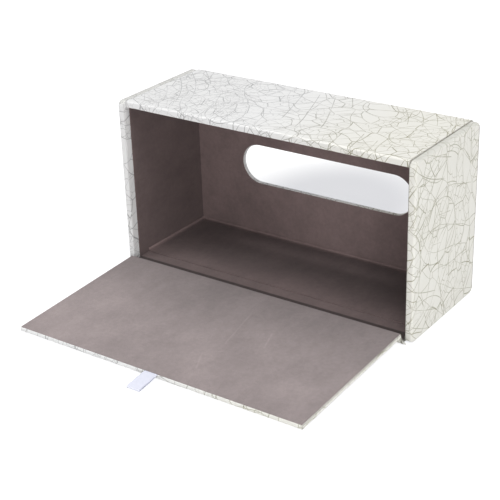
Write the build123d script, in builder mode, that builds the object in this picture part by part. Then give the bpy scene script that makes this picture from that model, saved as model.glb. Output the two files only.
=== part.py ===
"""Tissue box in crackle leatherette with a fold-down flap, lying open on a long side.

Frame: X runs along the flap's hinge, Y from the open front (-) to the slotted face (+), Z up.
The origin is the middle of the footprint of the box, on the surface that it rests on.
"""
from build123d import *
from math import asin, cos, degrees, hypot, radians, sin, tan
import os

os.makedirs("parts", exist_ok=True)

# ---------------------------------------------------------------- driving sizes, millimetres
box_width = 260.0  # over the two end panels
box_height = 138.0
box_depth = 98.0  # front edges of the end panels to the padded slot face

leather = 0.5  # leatherette sheet
wall_board = 3.0  # lower and slotted boards
upper_board_thick = 4.0  # thicker, because its front edge holds the magnets
lining_card = 1.2  # card wrapped in suede cloth
lining_round = 0.8  # rounding of the linings' edges at the mouth
slot_foam = 1.0  # padding under the leatherette of the slot face

end_board = 5.0  # the two end panels, under their leatherette
end_setback = 1.0  # end panels end this far short of the padded slot face
end_corner = 5.0  # outline radius of the end panels at the slot side
end_front_corner = 4.5  # and at the mouth
end_round = 1.8  # rounding of their outer edges
end_seam_round = 1.0  # rounding of their inner edges, beside the walls
end_turn_in = 6.0  # leatherette that shows inside the mouth

mouth_recess = 2.4  # the upper wall starts this far behind the end panels' front edges
hinge_recess = 6.0  # and the lower wall this far, to make room for the fold
wall_turn_in = 2.0  # leatherette folded under the upper wall
wall_corner = 3.0  # outer radius where two walls meet at the slot face
wall_front_round = 1.5
wall_end_round = 1.0  # rounding of the walls into the seam with the end panels

slot_length = 158.0
slot_height = 33.0
slot_drop = 2.0  # the slot's middle is this far below the box's
slot_mouth_round = 2.4  # soft lip of the padded slot
slot_lining_step = 0.6  # the lining's cut-out is larger by this all round

flap_board = 2.5
flap_lining = 0.7
flap_round = 0.9
flap_margin = 0.6  # leatherette that shows round the flap's lining
flap_lip = 0.35  # leatherette turn-in that the flap's lining stands beside
flap_length = 129.3
flap_side_gap = 0.4  # to each end panel when shut
flap_lift = 5.2  # height of the hinged edge, held up by the folded strip below it
flap_stand_off = 4.3  # hinged edge to the front edges of the end panels, open
flap_shut_height = 7.5  # hinged edge above the surface, shut
flap_shut_gap = 0.3  # flap lining to the front edge of the walls, shut

cove_height = 2.4  # cloth of the floor lining that runs up the other linings
cove_cloth = 0.6
hinge_cloth = 0.6  # suede strip inside the hinge
hinge_cloth_reach = 17.0  # how far it is glued back from the end panels' front edges
hinge_fold_round = 2.1
fit_gap = 0.1  # butted sheets

magnet_length = 20.0
magnet_width = 2.5
magnet_height = 1.7
magnet_lift = 0.8  # above the underside of the upper board
magnet_spacing = 150.0
plate_width = 6.0
plate_thick = 0.8
pocket_gap = 0.1

ribbon_width = 12.0
ribbon_thick = 0.4  # two layers of a folded loop
ribbon_tail = 20.0  # part that shows
ribbon_tongue = 15.0  # part glued under the lining
ribbon_drop = 1.6

# ---------------------------------------------------------------- places that follow from them
front = -box_depth / 2  # plane of the end panels' front edges
back = box_depth / 2  # slot face
middle = box_height / 2
end_thick = end_board + 2 * leather
end_back = back - end_setback
end_inner = box_width / 2 - end_thick  # inner face of an end panel
wall_thick = wall_board + leather
upper_thick = upper_board_thick + leather
wall_front = front + mouth_recess
lower_front = front + hinge_recess
slot_middle = middle - slot_drop
slot_board_front = back - leather - slot_foam - wall_board
slot_board_back = slot_board_front + wall_board
lining_side = end_inner + leather - lining_card  # inner face of a side lining
lining_front = front + end_turn_in + fit_gap
lining_back = slot_board_front - lining_card
floor_top = wall_thick + lining_card
ceiling = box_height - upper_thick - lining_card
anchor_back = front + hinge_cloth_reach

flap_thick = leather + flap_board + flap_lining
flap_half = end_inner - flap_side_gap
flap_tilt = degrees(asin(flap_lift / flap_length))
flap_y = front - flap_stand_off
flap_plane = Plane(
    origin=(0, flap_y, flap_lift),
    x_dir=(1, 0, 0),
    z_dir=(0, -sin(radians(flap_tilt)), cos(radians(flap_tilt))),
)

# The hinge turns the flap's outer hinged edge from its open place to its shut place.
flap_swing = 90 + flap_tilt
shut_y = wall_front - flap_shut_gap - flap_thick
travel_y = shut_y - flap_y
travel_z = flap_shut_height - flap_lift
to_centre = 0.5 / tan(radians(flap_swing / 2))
hinge_y = (flap_y + shut_y) / 2 + to_centre * travel_z
hinge_z = (flap_lift + flap_shut_height) / 2 - to_centre * travel_y


# ---------------------------------------------------------------- shared shapes
def end_panel_block(side, inset):
    """Rounded end panel, shrunk by inset on every face: inset 0 is the leatherette's outside."""
    face = Plane(
        origin=(side * (box_width / 2 - inset), (front + end_back) / 2, middle),
        x_dir=(0, 1, 0),
        z_dir=(side, 0, 0),
    )
    with BuildPart() as block:
        with BuildSketch(face) as outline:
            Rectangle(end_back - front - 2 * inset, box_height - 2 * inset)
            fillet(outline.vertices().group_by(Axis.X)[-1], end_corner - inset)
            fillet(outline.vertices().group_by(Axis.X)[0], end_front_corner - inset)
        extrude(amount=-(end_thick - 2 * inset))
        inner, outer = block.faces().filter_by(Axis.X).sort_by(Axis.X)[::side]
        if inset:
            chamfer(outer.edges(), end_round / 2)
        else:
            fillet(outer.edges(), end_round)
            fillet(inner.edges(), end_seam_round)
    return block.part


def slot_outline(grow, y, depth):
    """Stadium of the tissue slot, cut through along Y."""
    with BuildPart() as cut:
        with BuildSketch(Plane.XZ.offset(-y)):
            with Locations((0, slot_middle)):
                SlotOverall(slot_length + 2 * grow, slot_height + 2 * grow)
        extrude(amount=-depth)
    return cut.part


def walls_block(inset):
    """Upper, slotted and lower wall as one C: inset 0 is the leatherette's outside."""
    with BuildPart() as block:
        with BuildSketch(Plane.YZ.offset(-(end_inner - inset))) as section:
            with Locations(((wall_front + back) / 2, middle)):
                Rectangle(back - wall_front - 2 * inset, box_height - 2 * inset)
            fillet(section.vertices().group_by(Axis.X)[-1], wall_corner - inset)
            fillet(section.vertices().group_by(Axis.X)[0].sort_by(Axis.Y)[-1], wall_front_round - inset)
            with Locations((lower_front + inset, middle)):
                Rectangle(box_depth, box_height, align=(Align.MAX, Align.MAX), mode=Mode.SUBTRACT)
        extrude(amount=2 * (end_inner - inset))
        rims = [edge for end in block.faces().filter_by(Axis.X) for edge in end.edges()]
        if inset:
            chamfer(rims, wall_end_round / 2)
        else:
            fillet(rims, wall_end_round)
        add(slot_outline(inset, slot_board_front, back), mode=Mode.SUBTRACT)
        lip = block.faces().sort_by(Axis.Y)[-1].inner_wires()[0].edges()
        if inset:
            chamfer(lip, slot_mouth_round / 2)
        else:
            fillet(lip, slot_mouth_round)
        with BuildSketch(Plane.YZ.offset(-box_width)) as hollow:
            with Locations((slot_board_front, wall_thick)):
                Rectangle(2 * box_depth, box_height - wall_thick - upper_thick, align=(Align.MAX, Align.MIN))
        extrude(amount=2 * box_width, mode=Mode.SUBTRACT)
    return block.part


def save(piece, name):
    """Label a finished piece and write it to parts/."""
    piece.part.label = name
    export_step(piece.part, f"parts/{name}.step")


# ---------------------------------------------------------------- end panels
def end_panel(side, name):
    """Board, leatherette cover with its turn-in, and suede lining of one end."""
    window_depth = slot_board_front - lining_front
    window_height = box_height - wall_thick - upper_thick
    inner_face = Plane(
        origin=(side * (end_inner + leather), lining_front, wall_thick + window_height / 2),
        x_dir=(0, 1, 0),
        z_dir=(-side, 0, 0),
    )
    with BuildPart() as board:
        add(end_panel_block(side, leather))
    save(board, f"end_board_{name}")

    with BuildPart() as cover:
        add(end_panel_block(side, 0))
        add(board.part, mode=Mode.SUBTRACT)
        with BuildSketch(inner_face):
            Rectangle(window_depth, window_height, align=(Align.MIN, Align.CENTER))
        extrude(amount=leather, mode=Mode.SUBTRACT)
    save(cover, f"end_cover_{name}")

    with BuildPart() as lining:
        with BuildSketch(inner_face):
            Rectangle(window_depth, window_height, align=(Align.MIN, Align.CENTER))
        extrude(amount=lining_card)
        rim = lining.faces().sort_by(Axis.X)[0 if side > 0 else -1]
        fillet(rim.edges().sort_by(Axis.Y)[0], lining_round)
    save(lining, f"end_lining_{name}")


end_panel(-1, "left")
end_panel(1, "right")

# ---------------------------------------------------------------- walls: boards, padding and wrap
wall_core = walls_block(leather)

with BuildPart() as slot_board:
    add(wall_core)
    split(bisect_by=Plane.XZ.offset(-slot_board_back), keep=Keep.TOP)
    split(bisect_by=Plane.XZ.offset(-slot_board_front), keep=Keep.BOTTOM)
save(slot_board, "slot_board")

with BuildPart() as slot_padding:
    add(wall_core)
    split(bisect_by=Plane.XZ.offset(-slot_board_back), keep=Keep.BOTTOM)
save(slot_padding, "slot_padding")

with BuildPart() as magnet_pockets:
    with BuildSketch(Plane.XY.offset(box_height - upper_thick + magnet_lift)):
        with Locations((0, wall_front + leather)):
            with GridLocations(magnet_spacing, 1, 2, 1):
                Rectangle(
                    magnet_length + 2 * pocket_gap, magnet_width + pocket_gap, align=(Align.CENTER, Align.MIN)
                )
    extrude(amount=magnet_height)

with BuildPart() as upper_board:
    add(wall_core)
    split(bisect_by=Plane.XZ.offset(-slot_board_front), keep=Keep.TOP)
    split(bisect_by=Plane.XY.offset(middle), keep=Keep.TOP)
    add(magnet_pockets.part, mode=Mode.SUBTRACT)
save(upper_board, "upper_board")

with BuildPart() as lower_board:
    add(wall_core)
    split(bisect_by=Plane.XZ.offset(-slot_board_front), keep=Keep.TOP)
    split(bisect_by=Plane.XY.offset(middle), keep=Keep.BOTTOM)
save(lower_board, "lower_board")

with BuildPart() as closure_magnets:
    with BuildSketch(Plane.XY.offset(box_height - upper_thick + magnet_lift)):
        with Locations((0, wall_front + leather)):
            with GridLocations(magnet_spacing, 1, 2, 1):
                Rectangle(magnet_length, magnet_width, align=(Align.CENTER, Align.MIN))
    extrude(amount=magnet_height)
save(closure_magnets, "closure_magnets")

with BuildPart() as wall_skin:
    add(walls_block(0))
    add(wall_core, mode=Mode.SUBTRACT)

with BuildPart() as wrap_cover:
    add(wall_skin.part)
    split(bisect_by=Plane.XY.offset(wall_thick), keep=Keep.TOP)
    with BuildSketch(Plane.XY.offset(box_height - upper_thick - leather)):
        with Locations((0, wall_front)):
            Rectangle(2 * end_inner, wall_turn_in, align=(Align.CENTER, Align.MIN))
    extrude(amount=leather)
save(wrap_cover, "wrap_cover")

with BuildPart() as base_cover:
    add(wall_skin.part)
    split(bisect_by=Plane.XY.offset(wall_thick), keep=Keep.BOTTOM)
save(base_cover, "base_cover")

# ---------------------------------------------------------------- suede linings of the walls
lining_width = 2 * lining_side


with BuildPart() as upper_lining:
    with BuildSketch(Plane.XY.offset(ceiling)):
        with Locations((0, lining_front)):
            Rectangle(lining_width, slot_board_front - lining_front, align=(Align.CENTER, Align.MIN))
    extrude(amount=lining_card)
    fillet(upper_lining.faces().sort_by(Axis.Z)[0].edges().sort_by(Axis.Y)[0], lining_round)
save(upper_lining, "upper_lining")

# The floor's cloth runs a little way up the other linings and bridges the corner in a soft cove.
floor_front = anchor_back + fit_gap
floor_back = slot_board_front - lining_card
with BuildPart() as floor_lining:
    with BuildSketch(Plane.XY.offset(wall_thick)):
        with Locations((0, floor_front)):
            Rectangle(lining_width, floor_back - floor_front, align=(Align.CENTER, Align.MIN))
    extrude(amount=cove_height + lining_card)
    with BuildSketch(Plane.XY.offset(floor_top)):
        with Locations((0, floor_front)):
            Rectangle(
                lining_width - 2 * cove_cloth, floor_back - cove_cloth - floor_front, align=(Align.CENTER, Align.MIN)
            )
    extrude(amount=cove_height, mode=Mode.SUBTRACT)
    floor_face = floor_lining.faces().filter_by(Axis.Z).filter_by_position(Axis.Z, floor_top - 0.01, floor_top + 0.01)
    fillet(floor_face.edges().sort_by(Axis.Y)[1:], cove_height - cove_cloth / 2)
    fillet(floor_lining.edges().filter_by(Axis.X).sort_by(Axis.Y)[:2].sort_by(Axis.Z)[-1], lining_round)
save(floor_lining, "floor_lining")

with BuildPart() as slot_lining:
    with BuildSketch(Plane.XZ.offset(-lining_back)):
        with Locations((0, (wall_thick + ceiling) / 2)):
            Rectangle(lining_width, ceiling - wall_thick)
        with Locations((0, slot_middle)):
            SlotOverall(
                slot_length + 2 * slot_lining_step, slot_height + 2 * slot_lining_step, mode=Mode.SUBTRACT
            )
    extrude(amount=-lining_card)
save(slot_lining, "slot_lining")

with BuildPart() as hinge_anchor:
    with BuildSketch(Plane.XY.offset(wall_thick)):
        with Locations((0, lower_front)):
            Rectangle(lining_width, anchor_back - lower_front, align=(Align.CENTER, Align.MIN))
    extrude(amount=hinge_cloth)
save(hinge_anchor, "hinge_anchor")

# ---------------------------------------------------------------- flap
ribbon_slot_width = ribbon_width + 2 * fit_gap
flap_width = 2 * flap_half
rim_top = leather + flap_board + flap_lip

with BuildPart() as ribbon_path:
    with BuildSketch(flap_plane.offset(leather + flap_board)):
        with Locations((0, -flap_length)):
            Rectangle(ribbon_slot_width, 2 * ribbon_tongue)
    extrude(amount=ribbon_thick + fit_gap)

with BuildPart() as plate_pockets:
    with BuildSketch(flap_plane.offset(leather + flap_board - plate_thick)):
        with Locations((0, -flap_length + leather + 1)):
            with GridLocations(magnet_spacing, 1, 2, 1):
                Rectangle(
                    magnet_length + 2 * pocket_gap, plate_width + 2 * pocket_gap, align=(Align.CENTER, Align.MIN)
                )
    extrude(amount=plate_thick)

with BuildPart() as flap_board_piece:
    with BuildSketch(flap_plane.offset(leather)) as flap_blank:
        with Locations((0, -leather)):
            Rectangle(
                flap_width - 2 * leather, flap_length - 2 * leather, align=(Align.CENTER, Align.MAX)
            )
    extrude(amount=flap_board)
    add(plate_pockets.part, mode=Mode.SUBTRACT)
save(flap_board_piece, "flap_board")

with BuildPart() as flap_plates:
    with BuildSketch(flap_plane.offset(leather + flap_board - plate_thick)):
        with Locations((0, -flap_length + leather + 1 + pocket_gap)):
            with GridLocations(magnet_spacing, 1, 2, 1):
                Rectangle(magnet_length, plate_width, align=(Align.CENTER, Align.MIN))
    extrude(amount=plate_thick)
save(flap_plates, "flap_plates")

with BuildPart() as flap_cover:
    with BuildSketch(flap_plane):
        Rectangle(flap_width, flap_length, align=(Align.CENTER, Align.MAX))
    extrude(amount=rim_top)
    fillet(flap_cover.edges().filter_by(Axis.X).sort_by(Axis.Y)[:2], flap_round)
    fillet(flap_cover.edges().filter_by(Axis(flap_plane.origin, flap_plane.y_dir)), flap_round)
    with BuildSketch(flap_plane.offset(leather)):
        with Locations((0, -leather)):
            Rectangle(
                flap_width - 2 * leather, flap_length - 2 * leather, align=(Align.CENTER, Align.MAX)
            )
    extrude(amount=flap_board, mode=Mode.SUBTRACT)
    with BuildSketch(flap_plane.offset(leather + flap_board)):
        Rectangle(
            flap_width - 2 * flap_margin, flap_length - flap_margin, align=(Align.CENTER, Align.MAX)
        )
    extrude(amount=flap_lip, mode=Mode.SUBTRACT)
    add(ribbon_path.part, mode=Mode.SUBTRACT)
save(flap_cover, "flap_cover")

with BuildPart() as flap_lining_piece:
    with BuildSketch(flap_plane.offset(leather + flap_board)):
        Rectangle(
            flap_width - 2 * flap_margin, flap_length - flap_margin, align=(Align.CENTER, Align.MAX)
        )
    extrude(amount=flap_lining)
    add(ribbon_path.part, mode=Mode.SUBTRACT)
save(flap_lining_piece, "flap_lining")

ribbon_level = leather + flap_board + ribbon_thick / 2
ribbon_side = Plane(origin=flap_plane.origin, x_dir=-flap_plane.y_dir, z_dir=(-1, 0, 0))

with BuildPart() as ribbon_tab:
    with BuildSketch(ribbon_side.offset(-ribbon_width / 2)):
        with BuildLine():
            under = Line(
                (flap_length - ribbon_tongue + 1, ribbon_level), (flap_length + ribbon_thick, ribbon_level)
            )
            bend = TangentArc(
                under @ 1, (flap_length + ribbon_tail / 2, ribbon_level - ribbon_drop / 3), tangent=under % 1
            )
            Line(bend @ 1, (flap_length + ribbon_tail, ribbon_level - ribbon_drop))
        trace(line_width=ribbon_thick)
    extrude(amount=ribbon_width)
save(ribbon_tab, "ribbon_tab")

# ---------------------------------------------------------------- hinge strips, slack at rest
hinge_half = flap_half + fit_gap
fold_y = flap_y + fit_gap + leather / 2

with BuildPart() as hinge_cover:
    with BuildSketch(Plane.YZ.offset(-hinge_half)):
        with BuildLine():
            sole = Line((lower_front - fit_gap, leather / 2), (fold_y + hinge_fold_round, leather / 2))
            rise = TangentArc(
                sole @ 1, (fold_y, leather / 2 + hinge_fold_round), tangent=sole % 1
            )
            Line(rise @ 1, (fold_y, flap_lift + leather))
        trace(line_width=leather)
    extrude(amount=2 * hinge_half)
save(hinge_cover, "hinge_cover")

cloth_level = wall_thick + hinge_cloth / 2
cloth_dip = leather + hinge_cloth + fit_gap
cloth_rise_y = fold_y + leather / 2 + fit_gap + hinge_cloth / 2
cloth_end_y = flap_y + fit_gap + hinge_cloth / 2
cloth_end_z = flap_lift + leather + flap_board - fit_gap

with BuildPart() as hinge_lining:
    with BuildSketch(Plane.YZ.offset(-(flap_half - 2 * leather))):
        with BuildLine():
            FilletPolyline(
                (lower_front - fit_gap, cloth_level),
                (lower_front - 1.5, cloth_level),
                (lower_front - 3.5, cloth_dip),
                (cloth_rise_y + 2, cloth_dip),
                (cloth_rise_y, flap_lift + 2 * leather),
                (cloth_end_y, flap_lift + 2 * leather + hinge_cloth),
                (cloth_end_y, cloth_end_z),
                radius=hinge_cloth,
            )
        trace(line_width=hinge_cloth)
    extrude(amount=2 * (flap_half - 2 * leather))
save(hinge_lining, "hinge_lining")

print(f"hinge axis y {hinge_y:.3f} z {hinge_z:.3f}, swing {flap_swing:.2f} degrees")
print(f"cavity x +-{lining_side:.2f}, y {lining_front:.2f} to {lining_back:.2f}, z {floor_top:.2f} to {ceiling:.2f}")
print(f"hinged edge radius {hypot(flap_y - hinge_y, flap_lift - hinge_z):.2f}")
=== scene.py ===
"""Tissue box in crackle leatherette with its suede-lined flap folded down, in a white studio.

Lengths are in metres in the box's own frame: x runs across the mouth, y from the mouth to the
slotted face and z up from the underside.
"""

import bpy
import math
import numpy as np
from mathutils import Matrix, Vector


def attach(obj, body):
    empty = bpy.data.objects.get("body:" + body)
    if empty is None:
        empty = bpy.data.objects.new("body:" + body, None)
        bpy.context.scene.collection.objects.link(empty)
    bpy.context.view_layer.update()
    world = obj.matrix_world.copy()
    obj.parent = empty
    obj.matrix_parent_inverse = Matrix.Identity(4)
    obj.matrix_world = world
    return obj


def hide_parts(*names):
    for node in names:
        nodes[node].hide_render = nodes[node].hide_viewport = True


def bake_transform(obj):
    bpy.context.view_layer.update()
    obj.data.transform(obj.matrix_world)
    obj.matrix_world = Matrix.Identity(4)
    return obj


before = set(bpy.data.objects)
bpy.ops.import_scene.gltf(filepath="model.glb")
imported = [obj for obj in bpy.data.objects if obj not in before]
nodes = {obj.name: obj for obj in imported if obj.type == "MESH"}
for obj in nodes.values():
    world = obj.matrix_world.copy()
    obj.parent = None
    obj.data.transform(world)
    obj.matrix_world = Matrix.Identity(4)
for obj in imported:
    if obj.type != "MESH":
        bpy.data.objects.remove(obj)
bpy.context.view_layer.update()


# ---------------------------------------------------------------- boards, padding and magnets
# Stiff grey-brown boards stand inside the covers, a thin foam pads the slotted face, and two steel
# plates in the flap meet two magnets in the upper wall. All of them are closed in by the covers.
class Finish:
    """Writes one material's nodes. A socket is linked on, and a plain value is set on the socket."""

    def __init__(self, name):
        self.material = bpy.data.materials.new(name)
        self.material.use_nodes = True
        self.tree = self.material.node_tree
        self.tree.nodes.clear()

    def put(self, socket, value):
        if isinstance(value, bpy.types.NodeSocket):
            self.tree.links.new(value, socket)
        elif value is not None:
            socket.default_value = value

    def node(self, kind, settings=None, **inputs):
        made = self.tree.nodes.new(kind)
        for key, value in (settings or {}).items():
            setattr(made, key, value)
        for key, value in inputs.items():
            self.put(made.inputs[key.replace("_", " ")], value)
        return made

    def math(self, operation, a, b=None, c=None):
        made = self.node("ShaderNodeMath", {"operation": operation})
        for socket, value in zip(made.inputs, (a, b, c)):
            self.put(socket, value)
        return made.outputs[0]

    def product(self, first, *others):
        """All the values multiplied."""
        for other in others:
            first = self.math("MULTIPLY", first, other)
        return first

    def strongest(self, first, *others):
        """The largest of the values."""
        for other in others:
            first = self.math("MAXIMUM", first, other)
        return first

    def vector(self, operation, a, b=None, scale=None):
        made = self.node("ShaderNodeVectorMath", {"operation": operation})
        self.put(made.inputs[0], a)
        self.put(made.inputs[1], b)
        if scale is not None:
            self.put(made.inputs["Scale"], scale)
        single = operation in ("LENGTH", "DISTANCE", "DOT_PRODUCT")
        return made.outputs["Value" if single else "Vector"]

    def noise(self, place, scale, detail=2.0, roughness=0.5, output="Fac"):
        made = self.node("ShaderNodeTexNoise", Vector=place, Scale=scale, Detail=detail)
        self.put(made.inputs["Roughness"], roughness)
        return made.outputs[output]

    def mix(self, factor, a, b):
        made = self.node("ShaderNodeMix", {"data_type": "RGBA"})
        for socket, value in zip((made.inputs[0], made.inputs[6], made.inputs[7]), (factor, a, b)):
            self.put(socket, value)
        return made.outputs[2]

    def ramp(self, value, low, high, to_low=0.0, to_high=1.0):
        """Smooth step: to_low at low, to_high at high and beyond."""
        made = self.node("ShaderNodeMapRange", {"interpolation_type": "SMOOTHSTEP"})
        for socket, number in zip(made.inputs, (value, low, high, to_low, to_high)):
            self.put(socket, number)
        return made.outputs[0]

    def split(self, value):
        parts = self.node("ShaderNodeSeparateXYZ", Vector=value)
        return parts.outputs[0], parts.outputs[1], parts.outputs[2]

    def turned(self, place, angle):
        """The place turned about z."""
        made = self.node("ShaderNodeVectorRotate", {"rotation_type": "Z_AXIS"}, Vector=place, Angle=angle)
        return made.outputs[0]

    def warp(self, place, per_metre, reach):
        """The place, plus a smooth random vector of up to half the reach each way."""
        sway = self.noise(place, per_metre, 0.0, output="Color")
        sway = self.vector("SUBTRACT", sway, (0.5, 0.5, 0.5))
        return self.vector("ADD", place, self.vector("SCALE", sway, scale=reach))

    def bump(self, height, strength, distance):
        return self.node("ShaderNodeBump", Strength=strength, Distance=distance, Height=height).outputs[0]

    def skin(self, colour, roughness, normal=None, specular=None, metallic=0.0):
        shader = self.node(
            "ShaderNodeBsdfPrincipled", Base_Color=colour, Roughness=roughness, Metallic=metallic,
            Normal=normal,
        )
        self.put(shader.inputs["Specular IOR Level"], specular)
        return shader

    def finish(self, shader):
        out = self.node("ShaderNodeOutputMaterial")
        self.tree.links.new(shader.outputs[0], out.inputs[0])
        return self.material


def make_core(name, colour, roughness, metallic=0.0):
    """The colour, times a fine fibre noise."""
    g = Finish(name)
    fibre = g.noise(g.node("ShaderNodeTexCoord").outputs["Object"], 500.0, 4.0)
    shade = g.vector("SCALE", colour, scale=g.ramp(fibre, 0.3, 0.7, 0.93, 1.06))
    return g.finish(g.skin(shade, roughness, metallic=metallic))


def dress(material, *names):
    """These CAD nodes take the material, in place of the ones they had."""
    for name in names:
        obj = nodes[name]
        obj.data.materials.clear()
        obj.data.materials.append(material)


dress(
    make_core("board", (0.55, 0.48, 0.40), 0.9),
    "end_board_left", "end_board_right", "slot_board", "upper_board", "lower_board", "flap_board",
)
dress(make_core("foam", (0.88, 0.87, 0.84), 0.95), "slot_padding")
dress(make_core("steel", (0.60, 0.60, 0.62), 0.35, 1.0), "closure_magnets", "flap_plates")

# ---------------------------------------------------------------- end covers
# The covers of the two end panels are crackle leatherette, glued round a stiff board, rounded over
# its outer edges and turned in at the mouth. The pale sheet is printed with long curved cracks that
# cross one another, smaller cracks between them and patches of a fine net, and is lightly sunk there.
panel_outside = 0.130  # outer face of each end panel, from the middle
seam_x = 0.124  # where the end panels meet the walls
panel_thick = panel_outside - seam_x
mouth_y = -0.049
leather_warm = (0.775, 0.765, 0.715, 1)
leather_warm_dull = (0.745, 0.735, 0.68, 1)
leather_cool = (0.79, 0.79, 0.785, 1)
leather_painted_shade = (0.53, 0.525, 0.485, 1)
crack_warm = (0.26, 0.245, 0.15, 1)
crack_cool = (0.33, 0.33, 0.33, 1)
seam_shade_colour = (0.13, 0.12, 0.10, 1)
millimetres = 1000


def crackle_lines(g, sheet):
    """Strength of the crackle's lines, 1 on a line. Each kind is a distance to an edge between random
    cells, to a circle round a cell's point or to evenly spaced levels, all on a warped sheet, and
    falls to 0 over about half a millimetre. The strongest kind shows."""

    def cells(place, per_metre, feature, randomness=1.0):
        made = g.node("ShaderNodeTexVoronoi", {"voronoi_dimensions": "2D", "feature": feature})
        for key, value in (("Vector", place), ("Scale", per_metre), ("Randomness", randomness)):
            g.put(made.inputs[key], value)
        return made

    def crack(place, per_metre, half_width, strength, randomness=1.0):
        distance = cells(place, per_metre, "DISTANCE_TO_EDGE", randomness).outputs["Distance"]
        from_line = g.product(distance, millimetres / per_metre)
        return g.ramp(from_line, half_width * 0.45, half_width * 1.5, strength, 0)

    def strokes(angle, spacing, seed, low, high):
        """Long lines at the spacing, bent by a slow warp, only where a patch noise is above low."""
        level, _, _ = g.split(g.turned(g.warp(sheet, 7.0, 0.075), angle))
        part = g.math("FRACT", g.math("DIVIDE", g.math("ADD", level, 2.0 + seed), spacing))
        off = g.product(g.math("ABSOLUTE", g.math("SUBTRACT", part, 0.5)), spacing * millimetres)
        patch = g.noise(g.vector("ADD", sheet, (seed, 2 * seed, 0.0)), 17.0, 1.0)
        return g.product(g.ramp(off, 0.08, 0.34, 0.9, 0), g.ramp(patch, low, high))

    # Long cells lie along the sheet, and wider ones cross them at an angle.
    bent = g.warp(g.warp(sheet, 12.0, 0.028), 42.0, 0.011)
    long_place, long_cells = g.vector("MULTIPLY", bent, (0.66, 1.0, 1.0)), 78.0
    long_line = crack(long_place, long_cells, 0.21, 1.0)
    crossing = g.warp(g.warp(g.turned(sheet, 0.9), 13.0, 0.034), 38.0, 0.010)
    cross_line = crack(g.vector("MULTIPLY", crossing, (0.55, 1.0, 1.0)), 40.0, 0.18, 0.80)

    # Some of the long cells hold a fine net, turned its own way in each.
    owner = g.node("ShaderNodeSeparateColor", Color=cells(long_place, long_cells, "F1").outputs["Color"])
    patch = g.product(g.noise(sheet, 14.0, 0.0), 0.9)
    netted = g.ramp(g.math("ADD", owner.outputs[1], patch), 0.86, 0.92)
    net_place = g.turned(bent, g.product(owner.outputs[0], math.pi))
    net_place = g.vector("MULTIPLY", net_place, (1.0, 0.5, 1.0))
    net_line = g.product(crack(net_place, 210.0, 0.13, 0.7, 0.6), netted)

    # Left of the middle the upper wall's print is crowded.
    across, _, _ = g.split(sheet)
    crowded = g.product(g.ramp(across, -0.055, 0.005, 1, 0), g.ramp(across, -0.127, -0.105))
    crowded_line = g.product(crack(g.warp(sheet, 45.0, 0.010), 150.0, 0.16, 0.7, 0.9), crowded)

    # Wide arcs are parts of circles round a few points.
    arcs, arc_radius = 15.0, 0.34
    from_point = cells(g.warp(sheet, 9.0, 0.03), arcs, "F1").outputs["Distance"]
    from_arc = g.math("ABSOLUTE", g.math("SUBTRACT", from_point, arc_radius))
    from_arc = g.product(from_arc, millimetres / arcs)
    arc_line = g.ramp(from_arc, 0.10, 0.34, 0.95, 0)

    steep = strokes(0.5, 0.0105, 0.31, 0.51, 0.54)
    shallow = strokes(-0.45, 0.0120, 0.73, 0.53, 0.56)
    lines = g.strongest(long_line, cross_line, net_line, arc_line, crowded_line, steep, shallow)
    faint = g.ramp(g.noise(sheet, 70.0, 3.0), 0.28, 0.6, 0.40, 1.0)
    return g.product(lines, faint)


def make_leatherette():
    """Pale sheet with the crackle's lines over it: cooler to the left, with painted shade on the
    upward-facing edges of the end panels, in the seams beside them and along the right panel's back edge."""
    g = Finish("leatherette")
    sheet = g.node("ShaderNodeUVMap", {"uv_map": "sheet"}).outputs[0]
    strength = crackle_lines(g, sheet)
    coordinates = g.node("ShaderNodeTexCoord")
    x, y, _ = g.split(coordinates.outputs["Object"])
    normal_x, _, normal_z = g.split(coordinates.outputs["Normal"])

    cool = g.ramp(x, -0.03, 0.10, 1, 0)
    mottle = g.noise(sheet, 30.0, 4.0, 0.6)
    base = g.mix(cool, g.mix(g.ramp(mottle, 0.35, 0.7), leather_warm, leather_warm_dull), leather_cool)
    colour = g.mix(strength, base, g.mix(cool, crack_warm, crack_cool))

    past_seam = g.math("SUBTRACT", g.math("ABSOLUTE", x), seam_x)
    # Painted shade: past the seam, faces turned upwards are darkened by their normal.
    upper_edge_shade = g.product(g.ramp(normal_z, 0.15, 0.75, 0, 0.55), g.ramp(past_seam, 0.0, 0.001))
    colour = g.mix(upper_edge_shade, colour, leather_painted_shade)

    # Painted shade in the seams beside the end panels and along the right panel's back edge where its
    # outline turns away, weaker to the left.
    seam_shade = g.ramp(g.math("ABSOLUTE", past_seam), 0.00035, 0.00120, 0.66, 0)
    seam_shade = g.product(seam_shade, g.ramp(g.math("ABSOLUTE", normal_x), 0.97, 0.995, 1, 0))
    back_edge_shade = g.product(g.ramp(y, 0.0452, 0.0464, 0, 0.85), g.ramp(y, 0.0474, 0.0479, 1, 0))
    back_edge_shade = g.product(back_edge_shade, g.ramp(x, 0.1245, 0.1255))
    painted_shade = g.product(g.strongest(seam_shade, back_edge_shade), g.ramp(x, -0.05, 0.05, 0.30, 1))
    colour = g.mix(painted_shade, colour, seam_shade_colour)

    grain = g.product(g.noise(sheet, 1400.0, 2.0), 0.10)
    height = g.math("SUBTRACT", grain, g.product(strength, 0.45))
    roughness = g.ramp(mottle, 0.3, 0.7, 0.40, 0.48)
    return g.finish(g.skin(colour, roughness, g.bump(height, 0.3, 0.0002), 0.35))


leatherette = make_leatherette()


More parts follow.
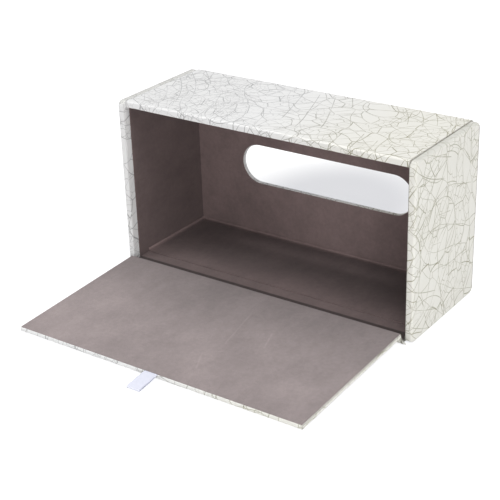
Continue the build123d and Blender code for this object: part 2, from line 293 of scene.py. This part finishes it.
def unroll(name, lay_flat):
    """Writes the UV map "sheet": lay_flat turns the corners' positions and their faces' normals into
    metres on the flat sheet."""
    mesh = nodes[name].data
    points = np.empty(len(mesh.vertices) * 3)
    mesh.vertices.foreach_get("co", points)
    corner = np.empty(len(mesh.loops), dtype=int)
    mesh.loops.foreach_get("vertex_index", corner)
    normal = np.empty(len(mesh.polygons) * 3)
    mesh.polygons.foreach_get("normal", normal)
    sides = np.empty(len(mesh.polygons), dtype=int)
    mesh.polygons.foreach_get("loop_total", sides)
    flat = lay_flat(points.reshape(-1, 3)[corner], np.repeat(normal.reshape(-1, 3), sides, axis=0))
    mesh.uv_layers.new(name="sheet").data.foreach_set("uv", flat.ravel())


def end_sheet(p, n):
    """On the outer face, z and y. Over an edge, the depth below the outer face is added along the
    outline's own direction. The turn-in runs on from the mouth's edge, backwards in y."""
    depth = panel_outside - np.abs(p[:, 0])
    tilt = np.maximum(np.hypot(n[:, 1], n[:, 2]), 1e-9)
    over_edge = np.where(tilt > 0.3, depth / tilt, 0.0)
    back = p[:, 1] + over_edge * n[:, 1]
    up = p[:, 2] + over_edge * n[:, 2]
    turned_in = np.sign(p[:, 0]) * n[:, 0] < -0.7
    back = np.where(turned_in, 2 * mouth_y - panel_thick - p[:, 1], back)
    return np.column_stack((up + np.where(p[:, 0] < 0, 0.9, 0.5), back + 0.3))


for name in ("end_cover_left", "end_cover_right"):
    dress(leatherette, name)
    unroll(name, end_sheet)

# ---------------------------------------------------------------- wrap cover
# One strip of the same leatherette covers the upper wall and the slotted face: it starts inside the
# mouth, goes round the upper wall's front edge, back over the top and down the padded slotted face,
# and is turned in round the slot's rim.
box_height = 0.138
upper_wall_under = 0.1335
wall_front_y = -0.0466


def wrap_sheet(p, n):
    """Across is x. Along is y on the top, and runs on down the front edge and down the slotted face,
    and from the front edge's foot backwards over the turn-in."""
    down = box_height - p[:, 2]
    along = p[:, 1] + np.where(p[:, 1] < 0, -down, down)
    turned_in = (n[:, 2] < -0.5) & (p[:, 1] < -0.04)
    foot = 2 * wall_front_y - (box_height - upper_wall_under)
    return np.column_stack((p[:, 0], np.where(turned_in, foot - p[:, 1], along)))


dress(leatherette, "wrap_cover")
unroll("wrap_cover", wrap_sheet)


# ---------------------------------------------------------------- base cover
# A separate piece of leatherette is glued under the lower wall and comes up over its front edge,
# where the hinge strips start.
def base_sheet(p, n):
    """Across is x, and along is y less the height."""
    return np.column_stack((p[:, 0] + 0.3, p[:, 1] - p[:, 2]))


dress(leatherette, "base_cover")
unroll("base_cover", base_sheet)

# ---------------------------------------------------------------- linings
# Thin cards wrapped in short-napped taupe suede are glued to the walls. Each card's brightness is a
# painted light level of its own, lit and shaded copies of the one suede; some edges carry painted light
# and painted shade, and the suede goes lighter where a rub has raised its pile.
suede_inside = (0.270, 0.196, 0.190)
along_x, along_y, along_z = 0, 1, 2


def make_suede(name, colour, painted_light_level, rubs=(), fades=()):
    """The colour times the card's painted light level, clouds, streaks, tufts and a fine speck. A rub is
    a stroke between two (x, y) points, lightest on its line. A fade is painted light or painted shade: it
    takes the brightness from 1 to its gain between two places along one axis."""
    g = Finish(name)
    place = g.node("ShaderNodeTexCoord").outputs["Object"]
    cloud = g.noise(place, 26.0, 5.0, 0.66)
    streak = g.noise(g.vector("MULTIPLY", place, (1.0, 0.35, 1.0)), 90.0, 3.0, 0.6)
    tuft = g.noise(place, 330.0, 3.0, 0.65)
    speck = g.noise(place, 2400.0, 2.0, 0.6)
    shade = g.product(
        g.ramp(cloud, 0.30, 0.72, 0.91, 1.09), g.ramp(speck, 0.3, 0.7, 0.92, 1.08),
        g.ramp(streak, 0.3, 0.7, 0.95, 1.05), g.ramp(tuft, 0.3, 0.7, 0.95, 1.05),
    )
    for start, end, width, gain in rubs:
        run = Vector(end) - Vector(start)
        offset = g.vector("SUBTRACT", place, (start[0], start[1], 0))
        offset = g.vector("MULTIPLY", offset, (1, 1, 0))
        part = g.math("DIVIDE", g.vector("DOT_PRODUCT", offset, (run.x, run.y, 0)), run.length_squared)
        part = g.math("MINIMUM", g.math("MAXIMUM", part, 0.0), 1.0)
        nearest = g.vector("SCALE", (run.x, run.y, 0), scale=part)
        shade = g.product(shade, g.ramp(g.vector("DISTANCE", offset, nearest), 0, width, 1 + gain, 1))
    for axis, low, high, gain in fades:
        shade = g.product(shade, g.ramp(g.split(place)[axis], low, high, 1, gain))
    # The card's painted light level scales its colour and its sheen.
    tinted = g.vector("SCALE", colour, scale=g.product(shade, painted_light_level))
    shader = g.skin(tinted, 0.95, g.bump(speck, 0.25, 0.0002), 0.12)
    shader.inputs["Sheen Weight"].default_value = 0.25 * painted_light_level
    shader.inputs["Sheen Roughness"].default_value = 0.6
    return g.finish(shader)


dress(make_suede("suede_end", suede_inside, 0.52), "end_lining_left", "end_lining_right")
dress(make_suede("suede_upper", suede_inside, 0.50), "upper_lining")
dress(make_suede("suede_slot_wall", suede_inside, 0.85), "slot_lining")
# Painted light on the floor lining's upturned edge and towards the mouth.
upturned_edge_light = (along_z, 0.0050, 0.0066, 1.85)
front_painted_light = (along_y, -0.005, -0.031, 1.22)
dress(make_suede("suede_floor", suede_inside, 0.56, (), (upturned_edge_light, front_painted_light)), "floor_lining")


# ---------------------------------------------------------------- hinge
# Two strips join the flap to the box along the whole mouth. Outside, a leatherette strip lies under
# the lower wall's edge and folds up under the flap's hinged edge, where its end bulges a little past
# the flap. Inside, a suede strip is glued to the floor and dips between it and the flap.
def bent_sheet(name, path, thickness, half_width, columns):
    """Each (y, z) point of the path is moved half the thickness along the path's normal to both
    sides. The ring of these points is repeated across x, from minus to plus its half width, and both
    end rings are closed with strips. The UV map "sheet" is x and the length run along the path."""
    path = np.array(path, float)
    run = np.gradient(path, axis=0)
    run /= np.linalg.norm(run, axis=1)[:, None]
    rise = np.column_stack((-run[:, 1], run[:, 0]))
    ring = np.vstack((path + rise * thickness / 2, (path - rise * thickness / 2)[::-1]))
    reach = np.concatenate((half_width, half_width[::-1]))
    length = np.concatenate(((0,), np.cumsum(np.linalg.norm(np.diff(path, axis=0), axis=1))))
    length = np.concatenate((length, length[::-1]))

    count = len(ring)
    across = np.linspace(-1, 1, columns)[:, None] * reach
    every = np.ones((columns, 1))
    points = np.stack((across, every * ring[:, 0], every * ring[:, 1]), axis=-1).reshape(-1, 3)
    sheet = np.stack((across + 1.6, every * length), axis=-1).reshape(-1, 2)
    index = np.arange(columns * count).reshape(columns, count)
    low, high = index[:-1], index[1:]
    after_low, after_high = np.roll(low, -1, axis=1), np.roll(high, -1, axis=1)
    sides = np.stack((high, after_high, after_low, low), axis=-1).reshape(-1, 4)
    near = np.arange(count // 2 - 1)
    far = count - 1 - near
    first_end = np.column_stack((near, near + 1, far - 1, far))
    last_end = first_end[:, ::-1] + (columns - 1) * count

    mesh = bpy.data.meshes.new(name)
    mesh.from_pydata(points, [], np.vstack((sides, first_end, last_end)).tolist())
    corner = np.empty(len(mesh.loops), dtype=int)
    mesh.loops.foreach_get("vertex_index", corner)
    mesh.uv_layers.new(name="sheet").data.foreach_set("uv", sheet[corner].ravel())
    mesh.shade_smooth()
    mesh.set_sharp_from_angle(angle=0.8)
    obj = bpy.data.objects.new(name, mesh)
    bpy.context.scene.collection.objects.link(obj)
    return obj


fold_thick = 0.0005
fold_round = 0.0021
fold_start_y = -0.0431
fold_y = -0.05295  # the strip's upright part, against the flap's hinged edge
fold_top_z = 0.0057
fold_half_width = 0.1237
fold_columns = 60
arc_y, arc_z = fold_y + fold_round, fold_thick / 2 + fold_round
fold_turn = np.linspace(0, math.pi / 2, 14)
fold_path = np.vstack((
    np.column_stack((np.linspace(fold_start_y, -0.0505, 16), np.full(16, fold_thick / 2))),
    np.column_stack((arc_y - fold_round * np.sin(fold_turn), arc_z - fold_round * np.cos(fold_turn))),
    np.column_stack((np.full(8, fold_y), np.linspace(0.0027, fold_top_z, 8))),
))
bulge_reach = 0.0036
bulge_y, bulge_length, bulge_height = -0.0518, 0.0018, 0.0038
in_front = np.clip((-0.0492 - fold_path[:, 0]) / 0.0006, 0, 1)  # no bulge where the end panel stands
from_bulge = ((fold_path[:, 0] - bulge_y) / bulge_length) ** 2 + (fold_path[:, 1] / bulge_height) ** 2
fold_reach = fold_half_width + bulge_reach * np.exp(-from_bulge) * in_front
hinge_fold = bent_sheet("hinge_fold", fold_path, fold_thick, fold_reach, fold_columns)
hinge_fold.data.materials.append(leatherette)
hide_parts("hinge_cover")
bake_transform(hinge_fold)
dress(leatherette, "hinge_cover")

cloth_thick = 0.0006
cloth_half_width = 0.1226
cloth_points = np.array((
    (-0.0431, 0.0038), (-0.0462, 0.0038), (-0.0484, 0.0017), (-0.0500, 0.0014), (-0.0516, 0.0020),
    (-0.0523, 0.0056), (-0.0529, 0.0066), (-0.0529, 0.0081),
))


def soften(points, count, rounds=12):
    """The line through the points is cut into even steps, and each step's point is then moved half
    way to the middle of its neighbours, round after round."""
    length = np.concatenate(((0,), np.cumsum(np.linalg.norm(np.diff(points, axis=0), axis=1))))
    even = np.linspace(0, length[-1], count)
    path = np.column_stack([np.interp(even, length, points[:, k]) for k in (0, 1)])
    for _ in range(rounds):
        path[1:-1] = 0.5 * path[1:-1] + 0.25 * (path[:-2] + path[2:])
    return path


cloth_path = soften(cloth_points, 44)
groove_shade = (along_y, -0.0413, -0.0430, 0.36)
hinge_suede = make_suede("suede_hinge", suede_inside, 0.66, (), (groove_shade,))
hinge_cloth = bent_sheet(
    "hinge_cloth", cloth_path, cloth_thick, np.full(len(cloth_path), cloth_half_width), fold_columns
)
hinge_cloth.data.materials.append(hinge_suede)
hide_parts("hinge_lining")
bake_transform(hinge_cloth)
dress(hinge_suede, "hinge_anchor", "hinge_lining")


# ---------------------------------------------------------------- flap
# The flap is a board wrapped in leatherette from below, with a card in suede glued on its inner side.
# The suede is scuffed where packs of tissues were pushed over it, and has painted shade towards the hinge
# and painted light towards the left.
def flap_sheet(p, n):
    """Across is x and along is y on the underside. The height is added outwards on the two sides
    and taken from y on the free edge."""
    side = np.where(np.abs(n[:, 0]) > 0.5, np.sign(p[:, 0]), 0.0)
    return np.column_stack((p[:, 0] + side * p[:, 2] + 1.2, p[:, 1] - p[:, 2] * (side == 0)))


dress(leatherette, "flap_cover")
unroll("flap_cover", flap_sheet)

suede_flap = (0.262, 0.218, 0.215)
flap_scuffs = (
    ((0.0147, -0.0829), (0.0223, -0.1261), 0.0012, 0.16),
    ((0.0157, -0.1445), (0.0238, -0.1622), 0.0012, 0.14),
    ((0.0440, -0.0988), (0.0498, -0.1174), 0.0013, 0.16),
)
# Painted shade towards the hinge, where the box blocks light, and painted light towards the left.
hinge_painted_shade = (along_y, -0.165, -0.065, 0.77)
left_painted_light = (along_x, -0.02, -0.11, 1.16)
flap_painted_light_and_shade = (hinge_painted_shade, left_painted_light)
dress(make_suede("suede_flap", suede_flap, 1.03, flap_scuffs, flap_painted_light_and_shade), "flap_lining")

# ---------------------------------------------------------------- ribbon
# The pull is a satin ribbon folded into a flat loop: its ends are glued under the flap's lining, and
# the fold stands out past the free edge and droops a little.
flap_hinged_edge = np.array((-0.0533, 0.0052))
flap_length = 0.1293
ribbon_thick = 0.0003
ribbon_half_width = 0.0056
ribbon_start = 0.1145  # glued from here, in metres from the flap's hinged edge
ribbon_upper_end = 0.1485
ribbon_lower_end = 0.1305
upper_height, upper_droop = 0.00322, 0.00134  # above the flap's underside
lower_height, lower_rise = 0.00096, 0.0016
ribbon_fold_round = 0.00046
ribbon_fold_at = (0.1487, 0.00142)


def on_flap(distance, height):
    """Points (y, z) on the open flap: the distance from the hinged edge along the flap's slope, and
    the height above its underside at a right angle to that."""
    tilt = math.asin(flap_hinged_edge[1] / flap_length)
    run = np.array((-math.cos(tilt), -math.sin(tilt)))
    rise = np.array((-math.sin(tilt), math.cos(tilt)))
    return flap_hinged_edge + np.outer(distance, run) + np.outer(height, rise)


def make_ribbon():
    """Satin: the pale blue-white, times fine cords across the tape and slightly darker selvedges."""
    g = Finish("ribbon")
    x, y, _ = g.split(g.node("ShaderNodeTexCoord").outputs["Object"])
    cord = g.math("MULTIPLY_ADD", g.math("SINE", g.product(y, 9000.0)), 0.5, 0.5)
    selvedge = g.ramp(g.math("ABSOLUTE", x), 0.0048, 0.0055, 1, 0.93)
    shade = g.product(g.ramp(cord, 0, 1, 0.985, 1.01), selvedge)
    colour = g.vector("SCALE", (0.73, 0.745, 0.85), scale=shade)
    return g.finish(g.skin(colour, 0.42, g.bump(cord, 0.15, 0.0001)))


# Four runs: glued and flat, out with a droop that grows as a power of the distance, round the
# fold, and back below with a rise that grows as a power too.
glued = np.linspace(ribbon_start, flap_length, 8)
upper = np.linspace(flap_length + 0.001, ribbon_upper_end, 20)
turn = np.linspace(0.3, math.pi, 10)
lower = np.linspace(0.1478, ribbon_lower_end, 18)
droop = upper_droop * ((upper - flap_length) / 0.0195) ** 1.6
rise = lower_rise * (np.maximum(0.1480 - lower, 0) / 0.0175) ** 1.2
ribbon_path = on_flap(
    np.concatenate((glued, upper, ribbon_fold_at[0] + ribbon_fold_round * np.sin(turn), lower)),
    np.concatenate((
        np.full(8, upper_height), upper_height - droop,
        ribbon_fold_at[1] + ribbon_fold_round * np.cos(turn), lower_height + rise,
    )),
)
ribbon = make_ribbon()
ribbon_loop = bent_sheet(
    "ribbon_loop", ribbon_path, ribbon_thick, np.full(len(ribbon_path), ribbon_half_width), 9
)
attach(ribbon_loop, "flap")
ribbon_loop.data.materials.append(ribbon)
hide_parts("ribbon_tab")
dress(ribbon, "ribbon_tab")

# ---------------------------------------------------------------- table and surroundings
# The box stands on white paper in white surroundings. The paper carries the box's faint shadow, and a
# painted shadow, an oval of less glow a little behind the box, deepens it where it shows through the
# slot.
table_reach = 4
full_white = (1.05, 1.05, 1.05, 1)
paper_colour = (0.80, 0.80, 0.80, 1)
paper_under_glow = (0.42, 0.41, 0.38, 1)
glow_near = (0.76, 0.77, 0.80, 1)
painted_shadow_glow = (0.29, 0.305, 0.36, 1)
painted_shadow_middle = (-0.05, 0.14, 0.0)
painted_shadow_per_metre = (7.7, 6.7, 0.0)  # one over its half width and half depth
corners = np.array(((-1, -1, 0), (1, -1, 0), (1, 1, 0), (-1, 1, 0))) * table_reach
table_mesh = bpy.data.meshes.new("floor")
table_mesh.from_pydata(corners, [], [(0, 1, 2, 3)])
table = bpy.data.objects.new("floor", table_mesh)
table.location = (0, 0, -0.0002)
bpy.context.scene.collection.objects.link(table)


def make_paper():
    """Pale paper. To the camera and in reflections it is a darker paper plus a glow that makes up the
    rest of white: less glow in an oval behind the box, a painted shadow, and all of it far from the box."""
    g = Finish("floor")
    path = g.node("ShaderNodeLightPath")
    rays = ("Is Camera Ray", "Is Glossy Ray", "Is Transmission Ray")
    seen = g.strongest(*[path.outputs[ray] for ray in rays])
    paper = g.node("ShaderNodeBsdfDiffuse", Color=paper_colour).outputs[0]
    shaded = g.node("ShaderNodeBsdfDiffuse", Color=paper_under_glow).outputs[0]
    place = g.node("ShaderNodeTexCoord").outputs["Object"]
    from_painted_shadow = g.vector("MULTIPLY", g.vector("SUBTRACT", place, painted_shadow_middle), painted_shadow_per_metre)
    # Painted shadow: the glow is lower in an oval behind the box.
    painted_shadow = g.ramp(g.vector("LENGTH", from_painted_shadow), 0.35, 1.0, 1, 0)
    tone = g.mix(painted_shadow, glow_near, painted_shadow_glow)
    tone = g.mix(g.ramp(g.vector("LENGTH", place), 0.45, 1.4), tone, full_white)
    glow = g.node("ShaderNodeEmission", Color=tone, Strength=1.0).outputs[0]
    white = g.node("ShaderNodeAddShader")
    g.put(white.inputs[0], shaded)
    g.put(white.inputs[1], glow)
    mixed = g.node("ShaderNodeMixShader")
    for socket, value in zip(mixed.inputs, (seen, paper, white.outputs[0])):
        g.put(socket, value)
    return g.finish(mixed)


table_mesh.materials.append(make_paper())

surroundings = bpy.data.worlds.new("studio")
surroundings.use_nodes = True
tree = surroundings.node_tree
tree.nodes.clear()
rays = tree.nodes.new("ShaderNodeLightPath")
pick = tree.nodes.new("ShaderNodeMix")
pick.data_type = "RGBA"
pick.inputs[6].default_value = (0.09, 0.09, 0.094, 1)  # the light that it gives
pick.inputs[7].default_value = full_white  # as seen
sky = tree.nodes.new("ShaderNodeBackground")
sky_out = tree.nodes.new("ShaderNodeOutputWorld")
tree.links.new(rays.outputs["Is Camera Ray"], pick.inputs[0])
tree.links.new(pick.outputs[2], sky.inputs[0])
tree.links.new(sky.outputs[0], sky_out.inputs[0])
bpy.context.scene.world = surroundings

# ---------------------------------------------------------------- lights
# Four soft square lamps: one above, one at the right, one low in front on the right that reaches
# into the mouth, and a weak one at the left.
lamp_target = Vector((0, -0.03, 0.04))
for name, place, size, power in (
    ("top_light", (0, 0, 1.6), 1.4, 21.9),
    ("right_light", (1.3, -0.3, 1.2), 1.0, 10.4),
    ("low_light", (1.2, -1.5, 0.4), 0.9, 14.9),
    ("left_light", (-1.4, -1.2, 0.7), 0.9, 8.3),
):
    lamp_data = bpy.data.lights.new(name, "AREA")
    lamp_data.size = size
    lamp_data.energy = power
    lamp = bpy.data.objects.new(name, lamp_data)
    lamp.location = place
    lamp.rotation_euler = (lamp_target - Vector(place)).to_track_quat("-Z", "Y").to_euler()
    bpy.context.scene.collection.objects.link(lamp)

# ---------------------------------------------------------------- camera
# The view is the photograph's: a portrait lens about a metre away, above and to the right of the
# open mouth, rolled slightly.
camera_azimuth = 0.62287
camera_elevation = 0.44265
camera_roll = -0.03292
camera_place = Vector((0.5001, -0.7574, 0.4537))
camera_lens = 92.16


def aim_camera():
    """The view's direction comes from azimuth and elevation, and right and up are turned about it by
    the roll. Right, up and backwards are the matrix's columns."""
    right = Vector((math.cos(camera_azimuth), math.sin(camera_azimuth), 0))
    ahead = Vector((
        -math.sin(camera_azimuth) * math.cos(camera_elevation),
        math.cos(camera_azimuth) * math.cos(camera_elevation),
        -math.sin(camera_elevation),
    ))
    up = right.cross(ahead)
    rolled_right = right * math.cos(camera_roll) + up * math.sin(camera_roll)
    rolled_up = up * math.cos(camera_roll) - right * math.sin(camera_roll)
    axes = Matrix((rolled_right, rolled_up, -ahead)).transposed().to_4x4()
    return Matrix.Translation(camera_place) @ axes


camera_data = bpy.data.cameras.new("camera")
camera_data.lens = camera_lens
camera_data.sensor_width = 36
camera_data.clip_start = 0.05
camera_data.clip_end = 20
camera = bpy.data.objects.new("camera", camera_data)
camera.matrix_world = aim_camera()
bpy.context.scene.collection.objects.link(camera)
bpy.context.scene.camera = camera
bpy.context.scene.view_settings.view_transform = "Standard"
